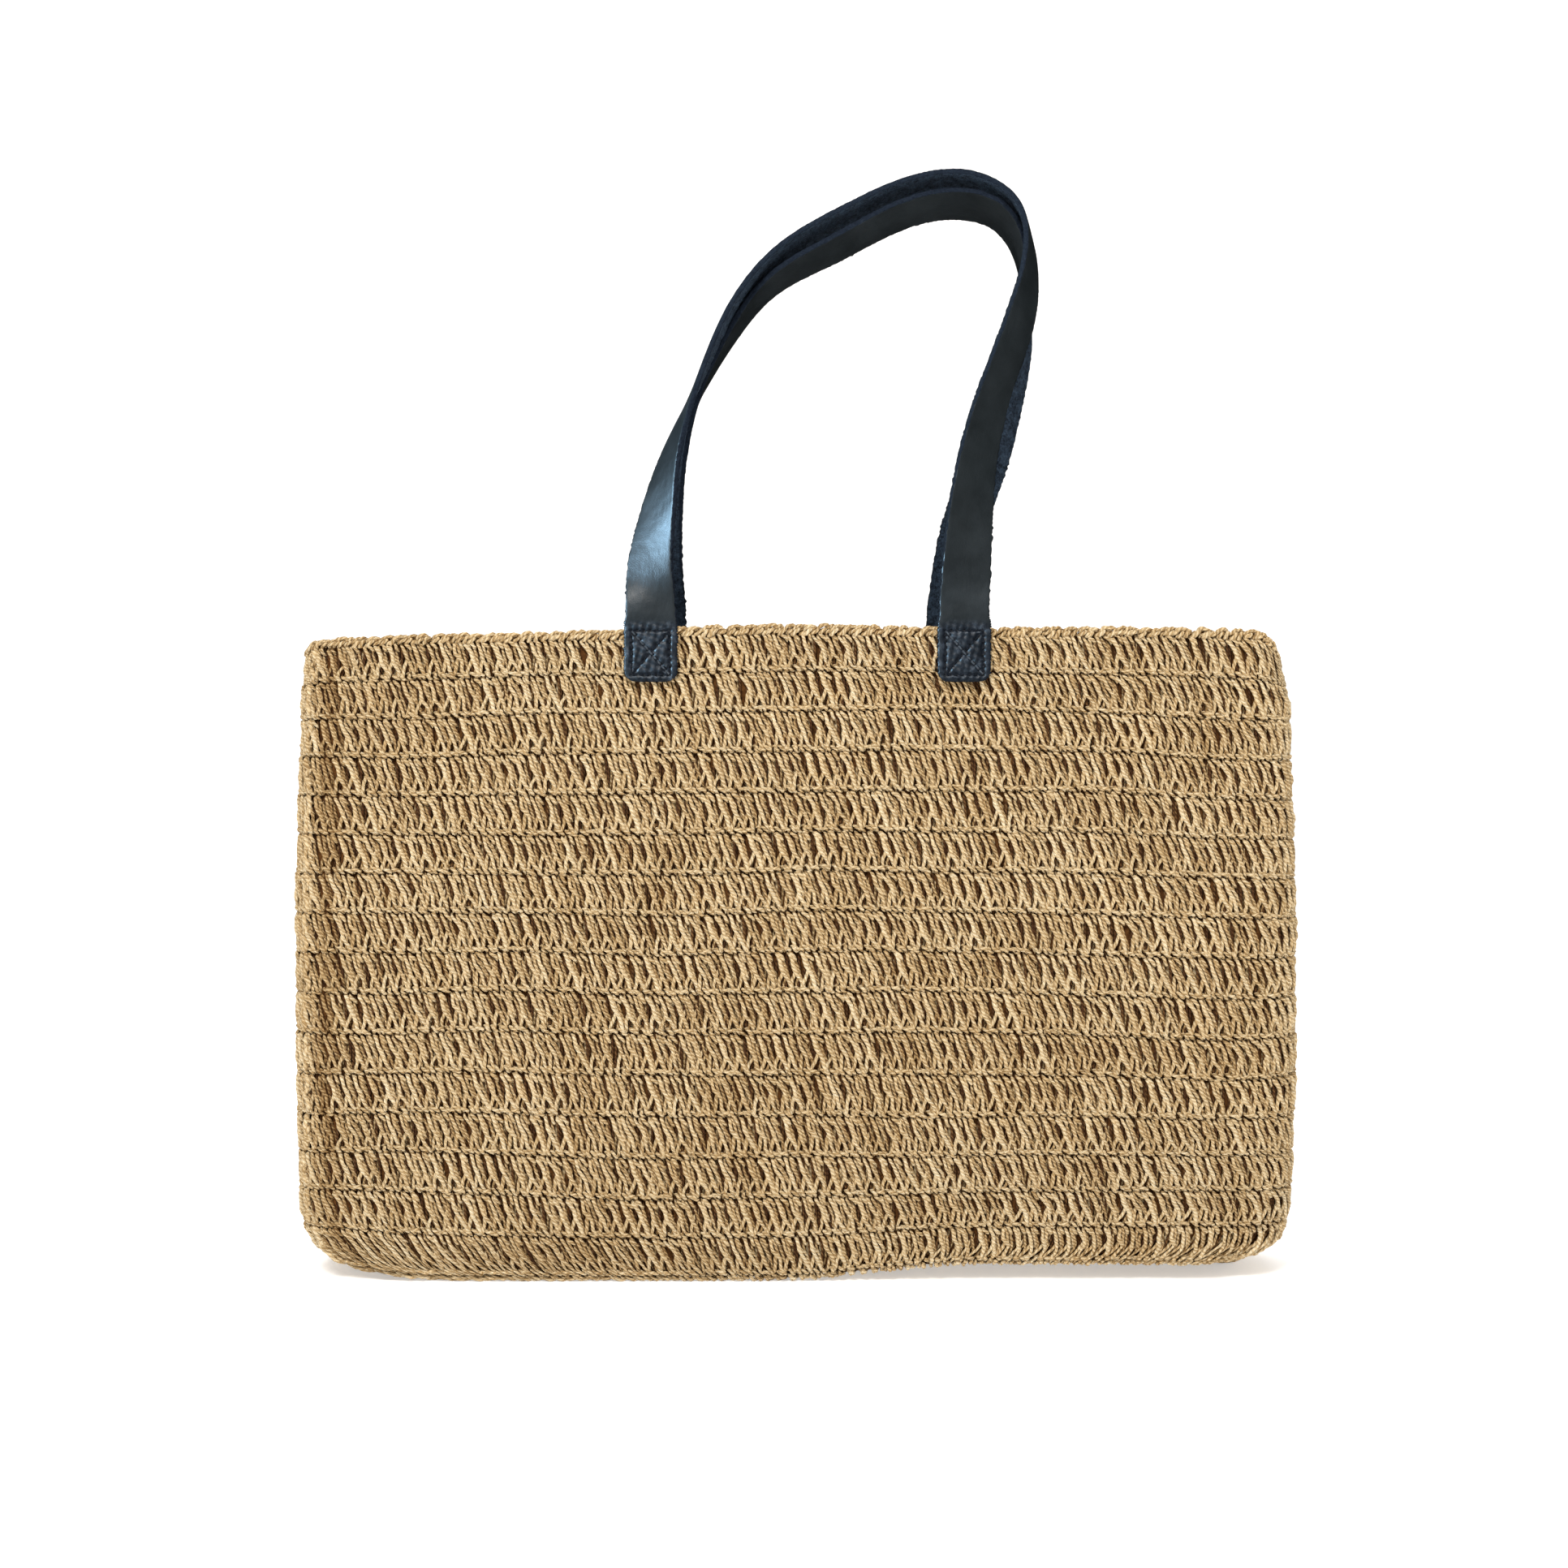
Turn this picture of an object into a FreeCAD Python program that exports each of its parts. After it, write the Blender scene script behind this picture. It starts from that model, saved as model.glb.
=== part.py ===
"""A crocheted straw beach bag with two leather carrying handles.

Millimetres, +Z up, +Y to the rear. The origin is the middle of the base on the ground.
The body is a thin crocheted shell, divided where a maker would divide it: front, rear, two
sides, base and the rim round. Each handle is one strap: two sewn ends that belong to the
bag, and a loop that swings over a line just above the rim.
"""
import FreeCAD, Part
import Sketcher
import math
import os

from FreeCAD import Placement, Rotation, Vector

doc = FreeCAD.newDocument("beach_bag")
sheet = doc.addObject("Spreadsheet::Sheet", "sheet")

# Driving dimensions. Each alias is also the name that the expressions use.
SIZES = {
    "wall": 5.0,             # thickness of the crocheted fabric
    "corner": 22.0,          # plan radius of the body's upright corners, outside
    "rim_band": 5.0,         # height of the edging round
    "side_split": 224.0,     # where the front and rear panels meet the sides, from the middle
    "mouth_left": 319.0,     # the rim's height at its left end, its level middle and its right
    "mouth_middle": 326.5,
    "mouth_right": 323.5,
    "mouth_level_from": -60.0,
    "mouth_level_to": 120.0,
    "mouth_end": 260.0,      # where its end heights are measured, from the middle
    "strap_width": 25.0,
    "strap_thickness": 2.8,
    "strap_left": -72.6,     # middle of each front strap end
    "strap_right": 84.0,
    "rear_inset": 2.4,       # how much closer to each other the rear ones are, each
    "strap_foot": 298.0,     # lowest point of the sewn ends
    "strap_round": 5.0,      # radius of a sewn end's lower corners
    "strap_gap": 0.1,        # between leather and crochet
    "fold_height": 331.0,    # the line that a handle folds over
    "fold_slit": 0.2,        # half the slit between sewn end and loop
    "patch_width": 29.0,     # backing patches inside the bag
    "patch_height": 28.0,
    "patch_thickness": 1.5,
    "patch_foot": 295.0,
    "thread": 0.9,           # diameter of the sewing thread
    "thread_gap": 0.02,      # between thread and leather
    "seam_width": 19.0,      # the box seam on a sewn end
    "seam_height": 22.0,
    "seam_foot": 301.5,
    "seam_stitches": 6,      # along each side of the box
    "cross_stitches": 4,     # along each half of a diagonal
    "past_ends": 300.0,      # how far the regions that divide the body reach from its middle,
    "past_faces": 100.0,     # lengthways and to the front and rear
    "past_mouth": 50.0,      # and how far they rise above the mouth section
}
# The body's plan sections from the ground up: height, length, depth.
SECTIONS = {
    "foot": (0.0, 430.0, 50.0),
    "toe": (5.0, 458.0, 62.0),
    "heel": (13.0, 480.0, 68.0),
    "hip": (32.0, 498.0, 73.0),
    "belly": (95.0, 503.0, 74.0),
    "waist": (185.0, 506.0, 67.0),
    "chest": (290.0, 504.0, 52.0),
    "mouth": (330.0, 498.0, 52.0),
}
for section, figures in SECTIONS.items():
    for figure, value in zip(("height", "length", "depth"), figures):
        SIZES[f"{section}_{figure}"] = value
for row, (alias, value) in enumerate(SIZES.items(), start=1):
    sheet.set(f"A{row}", alias)
    sheet.set(f"B{row}", str(value))
    sheet.setAlias(f"B{row}", alias)
doc.recompute()


def size(alias):
    """A driving dimension, read back from the sheet."""
    return float(getattr(sheet, alias))


def bind(thing, **expressions):
    """Binds properties of an object to expressions on the sheet; __ in a name stands for a dot."""
    for prop, expression in expressions.items():
        thing.setExpression(prop.replace("__", "."), expression)
    return thing


# ---------------------------------------------------------------- the crocheted body

RING = 8  # a rounded rectangle's edges: even ones are lines, odd ones arcs
FIRST_GUESS = (200.0, 30.0, 15.0)  # its half length, half depth and radius before it is constrained


def rounded_section(name, length, depth, radius, height):
    """A level rounded rectangle about the Z axis, its sizes given as expressions."""
    half_l, half_d, r = FIRST_GUESS
    x, y = half_l - r, half_d - r
    sketch = doc.addObject("Sketcher::SketchObject", name)

    def line(x1, y1, x2, y2):
        sketch.addGeometry(Part.LineSegment(Vector(x1, y1, 0), Vector(x2, y2, 0)), False)

    def arc(cx, cy, quarter):
        circle = Part.Circle(Vector(cx, cy, 0), Vector(0, 0, 1), r)
        start = quarter * math.pi / 2
        sketch.addGeometry(Part.ArcOfCircle(circle, start, start + math.pi / 2), False)

    line(-x, -half_d, x, -half_d)
    arc(x, -y, 3)
    line(half_l, -y, half_l, y)
    arc(x, y, 0)
    line(x, half_d, -x, half_d)
    arc(-x, y, 1)
    line(-half_l, y, -half_l, -y)
    arc(-x, -y, 2)
    for edge in range(RING):
        sketch.addConstraint(Sketcher.Constraint("Tangent", edge, 2, (edge + 1) % RING, 1))
    for edge, way in ((0, "Horizontal"), (2, "Vertical"), (4, "Horizontal"), (6, "Vertical")):
        sketch.addConstraint(Sketcher.Constraint(way, edge))
    for edge in (3, 5, 7):
        sketch.addConstraint(Sketcher.Constraint("Equal", 1, edge))
    sketch.addConstraint(Sketcher.Constraint("Symmetric", 1, 3, 5, 3, -1, 1))
    for kind, ends, expression in (
        ("Radius", (1, r), radius),
        ("DistanceX", (6, 1, 2, 1, 2 * half_l), length),
        ("DistanceY", (0, 1, 4, 1, 2 * half_d), depth),
    ):
        index = sketch.addConstraint(Sketcher.Constraint(kind, *ends))
        sketch.setExpression(f"Constraints[{index}]", expression)
    return bind(sketch, Placement__Base__z=height)


def loft(name, sections):
    thing = doc.addObject("Part::Loft", name)
    thing.Sections = sections
    thing.Solid, thing.Ruled, thing.Closed = True, True, False
    return thing


def outline(name, corners):
    """A closed polygon in the XZ plane, extruded through the whole depth of the body."""
    sketch = doc.addObject("Sketcher::SketchObject", f"{name}_outline")
    sketch.Placement = Placement(Vector(0, 0, 0), Rotation(Vector(1, 0, 0), 90))
    count = len(corners)
    turns = [2 * math.pi * k / count for k in range(count)]
    guess = [Vector(math.cos(turn), math.sin(turn), 0) * FIRST_GUESS[2] for turn in turns]
    for k in range(count):
        sketch.addGeometry(Part.LineSegment(guess[k], guess[(k + 1) % count]), False)
    for k in range(count):
        sketch.addConstraint(Sketcher.Constraint("Coincident", k, 2, (k + 1) % count, 1))
    for k, corner in enumerate(corners):
        for way, expression in zip(("DistanceX", "DistanceY"), corner):
            value = guess[k].x if way == "DistanceX" else guess[k].y
            index = sketch.addConstraint(Sketcher.Constraint(way, -1, 1, k, 1, value))
            sketch.setExpression(f"Constraints[{index}]", expression)
    thing = doc.addObject("Part::Extrusion", name)
    thing.Base = sketch
    thing.DirMode, thing.Dir = "Custom", Vector(0, 1, 0)
    thing.Symmetric, thing.Solid = True, True
    return bind(thing, LengthFwd="2 * sheet.past_faces")


def region(name, length, width, height, x, y, z):
    """A box whose sizes and lowest corner are expressions."""
    box = doc.addObject("Part::Box", name)
    return bind(box, Length=length, Width=width, Height=height,
                Placement__Base__x=x, Placement__Base__y=y, Placement__Base__z=z)


def common(label, *shapes):
    thing = doc.addObject("Part::MultiCommon", label)
    thing.Shapes = list(shapes)
    thing.Label = label
    return thing


def crocheted_body():
    """The shell between an outer and an inner loft, cut into its six pieces."""
    outer = loft("outer_form", [
        rounded_section(f"outer_{s}", f"sheet.{s}_length", f"sheet.{s}_depth", "sheet.corner",
                        f"sheet.{s}_height") for s in SECTIONS])
    hollow = list(SECTIONS)[1:]
    sections = [
        rounded_section(f"inner_{s}", f"sheet.{s}_length - 2 * sheet.wall",
                        f"sheet.{s}_depth - 2 * sheet.wall", "sheet.corner - sheet.wall",
                        f"sheet.{s}_height") for s in hollow]
    bind(sections[-1], Placement__Base__z="sheet.mouth_height + sheet.wall")
    inner = loft("inner_form", sections)
    shell = doc.addObject("Part::Cut", "shell")
    shell.Base, shell.Tool = outer, inner

    def mouth_line(lower):
        return [("-sheet.mouth_end", f"sheet.mouth_left - {lower}"),
                ("sheet.mouth_level_from", f"sheet.mouth_middle - {lower}"),
                ("sheet.mouth_level_to", f"sheet.mouth_middle - {lower}"),
                ("sheet.mouth_end", f"sheet.mouth_right - {lower}")]

    band = "sheet.rim_band"
    floor_line = [("sheet.mouth_end", "sheet.wall"), ("-sheet.mouth_end", "sheet.wall")]
    walls = outline("walls_region", floor_line + mouth_line(band))
    rim = outline("rim_region", mouth_line(band)[::-1] + mouth_line("0"))
    tall = "sheet.mouth_height + sheet.past_mouth"
    middle, side = "2 * sheet.side_split", "sheet.past_ends - sheet.side_split"
    deep = "sheet.past_faces"
    front = region("front_region", middle, deep, tall, "-sheet.side_split", f"-{deep}", "0")
    rear = region("rear_region", middle, deep, tall, "-sheet.side_split", "0", "0")
    left = region("left_region", side, f"2 * {deep}", tall, "-sheet.past_ends", f"-{deep}", "0")
    right = region("right_region", side, f"2 * {deep}", tall, "sheet.side_split", f"-{deep}", "0")
    ground = region("ground_region", "2 * sheet.past_ends", f"2 * {deep}", "sheet.wall",
                    "-sheet.past_ends", f"-{deep}", "0")
    return [
        common("front_panel", shell, walls, front),
        common("rear_panel", shell, walls, rear),
        common("left_side", shell, walls, left),
        common("right_side", shell, walls, right),
        common("base_panel", shell, ground),
        common("rim_round", shell, rim),
    ]


# ---------------------------------------------------------------- leather and thread

FACINGS = {"front": -1, "rear": 1}  # the side of the bag, along Y
UP, REARWARD = Vector(0, 0, 1), Vector(0, 1, 0)
LOOP_SECTIONS = 48
VOLUME_SHARE = 0.02  # how far a loop's volume may be from its section times its length
STRAP_X = {  # the middle of each strap end; the rear pair sits a little closer together
    ("front", "left"): "sheet.strap_left",
    ("front", "right"): "sheet.strap_right",
    ("rear", "left"): "(sheet.strap_left + sheet.rear_inset)",
    ("rear", "right"): "(sheet.strap_right - sheet.rear_inset)",
}


def strap_x(facing, hand):
    inset = 0 if facing == "front" else size("rear_inset")
    return size(f"strap_{hand}") + (inset if hand == "left" else -inset)


def strap_y(facing):
    return FACINGS[facing] * (size("mouth_depth") / 2 + size("strap_gap")
                              + size("strap_thickness") / 2)


def strap_end(facing, hand):
    """The sewn end of a strap: a flat tongue with two rounded lower corners."""
    label = f"{facing}_{hand}_strap_end"
    body = doc.addObject("PartDesign::Body", label)
    sketch = body.newObject("Sketcher::SketchObject", f"{label}_sketch")
    plane = next(f for f in body.Origin.OriginFeatures if f.Role == "XZ_Plane")
    sketch.AttachmentSupport, sketch.MapMode = (plane, ""), "FlatFace"
    w, r = size("strap_width") / 2, size("strap_round")
    h = size("fold_height") - size("fold_slit") - size("strap_foot")

    def line(x1, y1, x2, y2):
        sketch.addGeometry(Part.LineSegment(Vector(x1, y1, 0), Vector(x2, y2, 0)), False)

    def arc(cx, quarter):
        circle = Part.Circle(Vector(cx, r, 0), Vector(0, 0, 1), r)
        start = quarter * math.pi / 2
        sketch.addGeometry(Part.ArcOfCircle(circle, start, start + math.pi / 2), False)

    line(-w + r, 0, w - r, 0)
    arc(w - r, 3)
    line(w, r, w, h)
    line(w, h, -w, h)
    line(-w, h, -w, r)
    arc(-w + r, 2)
    for first, second in ((0, 1), (1, 2), (4, 5), (5, 0)):
        sketch.addConstraint(Sketcher.Constraint("Tangent", first, 2, second, 1))
    for first, second in ((2, 3), (3, 4)):
        sketch.addConstraint(Sketcher.Constraint("Coincident", first, 2, second, 1))
    for edge, way in ((0, "Horizontal"), (2, "Vertical"), (3, "Horizontal"), (4, "Vertical")):
        sketch.addConstraint(Sketcher.Constraint(way, edge))
    sketch.addConstraint(Sketcher.Constraint("Equal", 1, 5))
    sketch.addConstraint(Sketcher.Constraint("Symmetric", 0, 1, 0, 2, -1, 1))
    for kind, ends, expression in (
        ("Radius", (1, r), "sheet.strap_round"),
        ("DistanceX", (3, 2, 3, 1, 2 * w), "sheet.strap_width"),
        ("DistanceY", (0, 2, 2, 2, h), "sheet.fold_height - sheet.fold_slit - sheet.strap_foot"),
    ):
        index = sketch.addConstraint(Sketcher.Constraint(kind, *ends))
        sketch.setExpression(f"Constraints[{index}]", expression)
    pad = body.newObject("PartDesign::Pad", f"{label}_pad")
    pad.Profile = sketch
    pad.Midplane = True
    bind(pad, Length="sheet.strap_thickness")
    middle = (f"{FACINGS[facing]} * (sheet.mouth_depth / 2 + sheet.strap_gap"
              " + sheet.strap_thickness / 2)")
    return bind(body, Placement__Base__x=STRAP_X[facing, hand], Placement__Base__y=middle,
                Placement__Base__z="sheet.strap_foot")


def backing_patch(facing, hand):
    """The patch inside the bag that the strap end is sewn through to."""
    inside = "(sheet.mouth_depth / 2 - sheet.wall - sheet.strap_gap)"
    deep = "sheet.patch_thickness"
    low = f"-{inside}" if facing == "front" else f"{inside} - {deep}"
    patch = region(f"{facing}_{hand}_backing_patch", "sheet.patch_width", deep,
                   "sheet.patch_height", f"{STRAP_X[facing, hand]} - sheet.patch_width / 2", low,
                   "sheet.patch_foot")
    return patch


STITCH_GAP = 0.14  # the bare share of a stitch's length at each of its ends


def stitch_run(start, end, count):
    """Places for count equal stitches with small gaps, from start to end."""
    step = (end - start) / count
    return [(start + step * (k + STITCH_GAP), start + step * (k + 1 - STITCH_GAP))
            for k in range(count)]


def box_seam(facing, hand):
    """The box and cross of thread stitches on a strap end, each stitch a rod on the leather."""
    radius = size("thread") / 2
    clear = size("strap_thickness") / 2 + radius + size("thread_gap")
    x, y = strap_x(facing, hand), strap_y(facing) + FACINGS[facing] * clear
    half, low = size("seam_width") / 2, size("seam_foot")
    high = low + size("seam_height")
    corners = [Vector(x + sx * half, y, z)
               for sx, z in ((-1, low), (1, low), (1, high), (-1, high))]
    centre = Vector(x, y, (low + high) / 2)
    runs = []
    for corner, following in zip(corners, corners[1:] + corners[:1]):
        inset = (following - corner).normalize() * size("thread")
        runs += stitch_run(corner + inset, following - inset, int(size("seam_stitches")))
        inset = (centre - corner).normalize() * size("thread")
        runs += stitch_run(corner + inset * 2, centre - inset, int(size("cross_stitches")))
    rods = [Part.makeCylinder(radius, (b - a).Length, a, b - a) for a, b in runs]
    seam = doc.addObject("Part::Feature", f"{facing}_{hand}_box_seam")
    seam.Shape = Part.makeCompound(rods)
    return seam


# A loop's middle line from its left end to its right, as x, y, z, and the turn of the strap
# about that line in degrees: 0 faces the front or the rear, 90 faces straight out of the loop.
FRONT_LOOP = [
    (-73.0, -25.5, 355.0, 24),
    (-70.0, -22.5, 380.0, 42),
    (-63.0, -18.0, 414.0, 66),
    (-50.0, -12.0, 450.0, 84),
    (-34.0, -8.0, 486.0, 88),
    (-10.0, -5.5, 517.0, 87),
    (25.0, -5.0, 539.0, 86),
    (60.0, -5.0, 554.0, 86),
    (90.0, -5.0, 556.0, 86),
    (112.0, -7.0, 542.0, 84),
    (119.0, -12.0, 510.0, 67),
    (114.0, -15.5, 484.0, 52),
    (101.0, -20.0, 447.0, 49),
    (90.0, -24.5, 404.0, 35),
    (85.5, -27.0, 360.0, 12),
]
REAR_LOOP = [
    (-71.0, 25.5, 358.0, 20),
    (-69.5, 23.0, 382.0, 36),
    (-64.0, 19.5, 412.0, 58),
    (-48.0, 13.5, 451.0, 84),
    (-31.5, 7.5, 480.0, 92),
    (-12.5, 0.5, 502.0, 99),
    (20.0, -4.0, 520.5, 105),
    (52.0, -5.0, 537.0, 107),
    (82.0, -5.0, 543.5, 108),
    (101.0, -2.0, 538.0, 105),
    (111.0, 4.0, 525.0, 96),
    (115.5, 10.0, 506.0, 82),
    (115.5, 15.5, 482.0, 64),
    (108.0, 19.0, 450.0, 48),
    (98.5, 22.5, 417.0, 34),
    (89.0, 25.5, 383.0, 18),
    (83.5, 27.0, 350.0, 6),
]


def loop(facing, route):
    """A strap's free loop: a rectangle swept along its route, turning with it."""
    foot = size("fold_height") + size("fold_slit")
    first = (strap_x(facing, "left"), strap_y(facing), foot, 0)
    last = (strap_x(facing, "right"), strap_y(facing), foot, 0)
    route = [first] + route + [last]
    points = [Vector(*station[:3]) for station in route]
    marks = [0.0]
    for a, b in zip(points, points[1:]):
        marks.append(marks[-1] + (b - a).Length)
    line = Part.BSplineCurve()
    line.interpolate(Points=points, Parameters=marks, InitialTangent=UP, FinalTangent=UP * -1,
                     Scale=False)
    path = line.toShape()

    def turn_at(parameter):
        k = max(i for i in range(len(marks) - 1) if marks[i] <= parameter)
        share = (parameter - marks[k]) / (marks[k + 1] - marks[k])
        return math.radians(route[k][3] + share * (route[k + 1][3] - route[k][3]))

    half_w, half_t = size("strap_width") / 2, size("strap_thickness") / 2
    wires = []
    for k in range(LOOP_SECTIONS + 1):
        parameter = path.getParameterByLength(path.Length * k / LOOP_SECTIONS)
        place, along = line.value(parameter), Vector(*line.tangent(parameter)[0])
        outward = Vector(-along.z, 0, along.x).normalize()
        turn = turn_at(parameter)
        face = outward * math.sin(turn) - REARWARD * math.cos(turn)
        across = face.cross(along).normalize()
        face = along.cross(across).normalize()
        corners = [place + across * (sx * half_w) + face * (sy * half_t)
                   for sx, sy in ((-1, -1), (1, -1), (1, 1), (-1, 1))]
        wires.append(Part.makePolygon(corners + corners[:1]))
    strap = doc.addObject("Part::Feature", f"{facing}_handle_loop")
    strap.Shape = Part.makeLoft(wires, True, False)
    swept = path.Length * 4 * half_w * half_t
    if abs(strap.Shape.Volume / swept - 1) > VOLUME_SHARE:
        raise SystemExit(f"{strap.Label} has a volume of {strap.Shape.Volume:.0f}, not {swept:.0f}")
    print(f"{facing} loop: {path.Length:.0f} mm along its middle")
    return strap


# ---------------------------------------------------------------- build, check, write

pieces = crocheted_body()
for facing, hand in STRAP_X:
    pieces += [strap_end(facing, hand), backing_patch(facing, hand), box_seam(facing, hand)]
pieces += [loop("front", FRONT_LOOP), loop("rear", REAR_LOOP)]
doc.recompute()

for thing in doc.Objects:
    bad = {"Invalid", "Error"} & set(thing.State)
    if bad:
        raise SystemExit(f"{thing.Label} is {bad}")
os.makedirs("parts", exist_ok=True)
for piece in pieces:
    if piece.Shape.isNull() or not piece.Shape.isValid() or piece.Shape.Volume <= 0:
        raise SystemExit(f"{piece.Label} has no valid shape")
for piece in pieces:
    piece.Shape.exportStep(f"parts/{piece.Label}.step")
print(len(pieces), "pieces written")
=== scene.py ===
"""A crocheted straw beach bag with two leather handles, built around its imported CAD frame.

Shapes are worked out in millimetres, in the frame's own axes, and stored in metres.
"""
import math

import bpy
import numpy as np
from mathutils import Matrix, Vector


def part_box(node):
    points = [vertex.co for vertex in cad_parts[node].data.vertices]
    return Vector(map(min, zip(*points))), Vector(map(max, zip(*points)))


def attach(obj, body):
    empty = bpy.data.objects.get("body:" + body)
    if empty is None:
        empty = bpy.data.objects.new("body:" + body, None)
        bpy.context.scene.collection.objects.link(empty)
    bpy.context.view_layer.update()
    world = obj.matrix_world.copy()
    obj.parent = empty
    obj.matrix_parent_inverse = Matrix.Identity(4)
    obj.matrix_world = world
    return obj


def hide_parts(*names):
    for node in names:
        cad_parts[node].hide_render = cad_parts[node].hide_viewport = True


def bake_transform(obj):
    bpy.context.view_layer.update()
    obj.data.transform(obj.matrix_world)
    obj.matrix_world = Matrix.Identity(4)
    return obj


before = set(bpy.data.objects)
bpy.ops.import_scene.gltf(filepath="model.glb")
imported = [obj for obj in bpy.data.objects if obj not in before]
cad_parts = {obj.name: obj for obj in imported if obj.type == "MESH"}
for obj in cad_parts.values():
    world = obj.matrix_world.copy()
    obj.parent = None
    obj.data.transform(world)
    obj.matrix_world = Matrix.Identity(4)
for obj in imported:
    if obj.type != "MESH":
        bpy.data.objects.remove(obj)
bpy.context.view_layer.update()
rng = np.random.default_rng(11)

MM = 0.001


def smooth_step(t):
    t = np.clip(t, 0, 1)
    return t * t * (3 - 2 * t)


def eases(value, start, end):
    """0 at start, 1 at end, smooth between them and level past them."""
    return smooth_step((value - start) / (end - start))


# ------------------------------------------------------------------ materials


class Nodes:
    """A short way to write a node material."""

    def __init__(self, name):
        self.material = bpy.data.materials.new(name)
        self.material.use_nodes = True
        self.tree = self.material.node_tree
        self.shader = self.tree.nodes["Principled BSDF"]

    def add(self, kind, inputs=None, **settings):
        node = self.tree.nodes.new(kind)
        for key, value in settings.items():
            setattr(node, key, value)
        for key, value in (inputs or {}).items():
            self.put(node.inputs[key], value)
        return node

    def put(self, socket, value):
        if isinstance(value, bpy.types.NodeSocket):
            self.tree.links.new(value, socket)
        else:
            socket.default_value = value

    def math(self, operation, a, b=0.0):
        return self.add("ShaderNodeMath", {0: a, 1: b}, operation=operation).outputs[0]

    def scaled(self, value, by, plus):
        inputs = {0: value, 1: by, 2: plus}
        return self.add("ShaderNodeMath", inputs, operation="MULTIPLY_ADD").outputs[0]

    def weighted(self, *pairs):
        """The sum of values, each times its weight."""
        total = None
        for value, weight in pairs:
            part = self.math("MULTIPLY", value, weight)
            total = part if total is None else self.math("ADD", total, part)
        return total

    def mix(self, share, a, b):
        node = self.add("ShaderNodeMix", data_type="RGBA")
        self.put(node.inputs["Factor"], share)
        self.put(node.inputs[6], a)
        self.put(node.inputs[7], b)
        return node.outputs[2]

    def noise(self, vector, scale, detail=3.0, roughness=0.55):
        node = self.add("ShaderNodeTexNoise", {"Vector": vector, "Scale": scale, "Detail": detail,
                                               "Roughness": roughness})
        return node.outputs["Fac"]

    def ramp(self, value, stops):
        node = self.add("ShaderNodeValToRGB", {"Fac": value})
        elements = node.color_ramp.elements
        while len(elements) < len(stops):
            elements.new(0.5)
        for element, (place, color) in zip(elements, stops):
            element.position = place
            element.color = (*color, 1)
        return node.outputs["Color"]

    def stretch(self, vector, scale):
        return self.add("ShaderNodeMapping", {"Vector": vector, "Scale": scale}).outputs[0]

    def place(self):
        return self.add("ShaderNodeTexCoord").outputs["Object"]

    def uv(self, name):
        return self.add("ShaderNodeUVMap", uv_map=name).outputs[0]

    def attribute(self, name):
        return self.add("ShaderNodeAttribute", attribute_name=name).outputs["Fac"]

    def bump(self, height, distance, strength=1.0, normal=None):
        node = self.add("ShaderNodeBump", {"Height": height, "Distance": distance,
                                           "Strength": strength})
        if normal is not None:
            self.put(node.inputs["Normal"], normal)
        return node.outputs[0]

    def finish(self, **sockets):
        for key, value in sockets.items():
            self.put(self.shader.inputs[key.replace("_", " ")], value)
        return self.material


STRAW_TWIST, STRAW_PLIES = 1.5, 3    # turns in a centimetre of the strand, and grooves round it
THREAD_TWIST, THREAD_PLIES = 9.0, 2  # turns in a millimetre of the thread, and grooves round it


def straw_material():
    """Twisted paper straw. Its UV runs along the strand in centimetres, then round it once."""
    n = Nodes("paper_straw")
    axes = n.add("ShaderNodeSeparateXYZ", {0: n.uv("strand")})
    along, around = axes.outputs[0], axes.outputs[1]
    twist = n.math("SUBTRACT", around, n.math("MULTIPLY", along, STRAW_TWIST))
    wave = n.math("SINE", n.math("MULTIPLY", twist, STRAW_PLIES * 2 * math.pi))
    groove = n.scaled(wave, 0.5, 0.5)
    tone = n.attribute("tone")
    turned = n.add("ShaderNodeCombineXYZ", {0: along, 1: twist, 2: n.math("MULTIPLY", tone, 37.0)})
    fibres = n.noise(n.stretch(turned.outputs[0], (1.8, 17.0, 1.0)), 1.0, 5.0, 0.75)
    blotch = n.noise(n.stretch(turned.outputs[0], (1.6, 1.5, 1.0)), 1.5, 2.0)
    broad = n.noise(n.place(), 12.0, 3.0)
    # painted shade: the ply grooves and the strands' tones, which are lower for strands lying deeper,
    # darken the colour
    light = n.weighted((fibres, 0.62), (blotch, 0.26), (tone, 0.30), (groove, 0.16), (broad, 0.12))
    color = n.ramp(light, [(0.30, (0.080, 0.028, 0.006)), (0.47, (0.245, 0.125, 0.038)),
                           (0.61, (0.520, 0.338, 0.146)), (0.76, (0.820, 0.630, 0.370)),
                           (0.92, (0.955, 0.840, 0.610))])
    height = n.weighted((groove, 0.7), (fibres, 0.75))
    return n.finish(Base_Color=color, Roughness=n.scaled(fibres, -0.25, 0.72),
                    Normal=n.bump(height, 0.0009), Specular_IOR_Level=0.32)


def core_painted_shade_straw():
    """The middle of the fabric behind the stitches, coloured dark brown as their painted shade."""
    n = Nodes("straw_core_painted_shade")
    fibres = n.noise(n.place(), 420.0, 4.0, 0.7)
    color = n.ramp(fibres, [(0.35, (0.045, 0.015, 0.003)), (0.70, (0.150, 0.062, 0.016))])
    return n.finish(Base_Color=color, Roughness=0.9, Normal=n.bump(fibres, 0.001, 0.8),
                    Specular_IOR_Level=0.15)


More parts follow.
